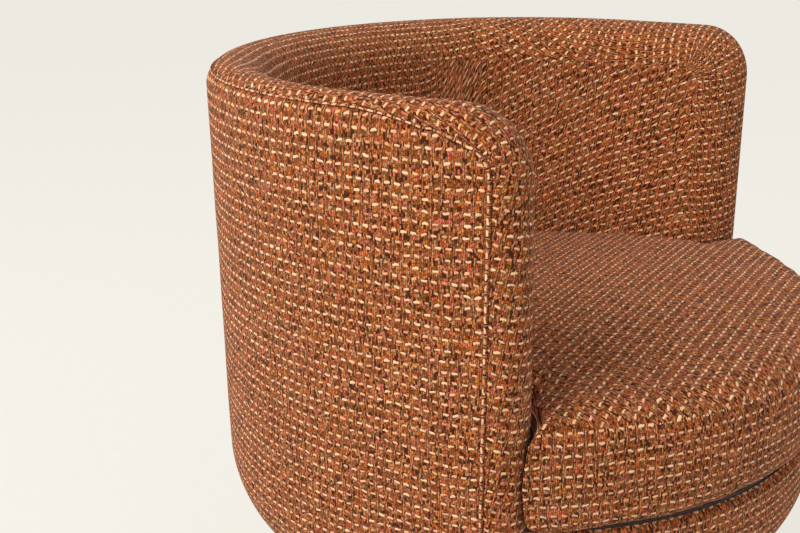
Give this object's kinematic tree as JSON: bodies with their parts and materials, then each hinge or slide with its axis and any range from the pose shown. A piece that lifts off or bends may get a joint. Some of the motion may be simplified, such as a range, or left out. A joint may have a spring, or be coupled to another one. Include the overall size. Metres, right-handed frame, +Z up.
{
  "type": "swivel rocker",
  "caption": "Round upholstered tub chair that turns on a ball bearing and rocks on a cross shaft, with a loose T seat cushion.",
  "frame": {"origin": "on the floor, on the swivel axis, at the middle of the bounding box's bottom", "axes": "+Z up along the swivel axis, the sitter faces -Y, +X towards the sitter's left arm"},
  "size_m": [0.78, 0.7598, 0.73],
  "materials": {
    "tweed": "chunky woven tweed",
    "black_cloth": "thin plain cloth",
    "felt": "pressed felt",
    "foam": "cut foam",
    "board": "plain board",
    "plywood": "sawn plywood",
    "hardwood": "planed hardwood",
    "black_steel": "black powder coat",
    "zinc_steel": "zinc plated",
    "spring_steel": "oil tempered wire",
    "ball_steel": "ground steel",
    "nylon": "moulded",
    "rubber": "moulded"
  },
  "bodies": {
    "base": {"floor_glides": "nylon", "base_ring": "black_steel", "base_cross": "black_steel", "hub_plate": "black_steel", "hub_bolts": "zinc_steel", "lower_race": "zinc_steel", "king_rivet": "zinc_steel"},
    "ball_ring": {"bearing_cage": "nylon", "bearing_balls": "ball_steel"},
    "turntable": {"upper_race": "zinc_steel", "tray_bolts": "zinc_steel", "rocker_tray": "black_steel", "pivot_shaft": "ball_steel", "shaft_clips": "zinc_steel", "coil_springs": "spring_steel", "rock_stops": "rubber"},
    "chair": {"outside_cover": "tweed", "inside_cover": "tweed", "arm_front_left": "tweed", "arm_front_right": "tweed", "top_welt": "tweed", "arm_welt_left": "tweed", "arm_welt_right": "tweed", "front_rail_cover": "tweed", "cushion_cover": "tweed", "cushion_core": "foam", "cushion_base_panel": "black_cloth", "outer_board": "board", "inner_board": "board", "inside_pad": "foam", "crown_roll": "foam", "front_board": "board", "frame_ribs": "plywood", "arm_posts": "hardwood", "top_rail": "plywood", "seat_rail": "plywood", "front_rail": "plywood", "bottom_hoop": "plywood", "mounting_rails": "hardwood", "dust_cover": "black_cloth", "sinuous_springs": "spring_steel", "spring_clips": "zinc_steel", "deck_felt": "felt", "deck_cloth": "black_cloth", "rocker_yoke": "black_steel", "pivot_bushes": "nylon", "yoke_bolts": "zinc_steel"}
  },
  "joints": [
    {"name": "swivel", "type": "hinge", "parent": "base", "child": "turntable", "pos_m": [0, 0, 0.04], "axis": [0, 0, 1], "continuous": true},
    {"name": "ball_ring_spin", "type": "hinge", "parent": "base", "child": "ball_ring", "pos_m": [0, 0, 0.04], "axis": [0, 0, 1], "continuous": true},
    {"name": "rock", "type": "hinge", "parent": "turntable", "child": "chair", "pos_m": [0, 0, 0.0801], "axis": [-1, 0, 0], "range_deg": [-6, 8], "stiffness_Nm_per_rad": 900, "deforming": ["coil_springs"]}
  ],
  "couplings": [
    {"joint": "ball_ring_spin", "follows": "swivel", "ratio": 0.5}
  ]
}
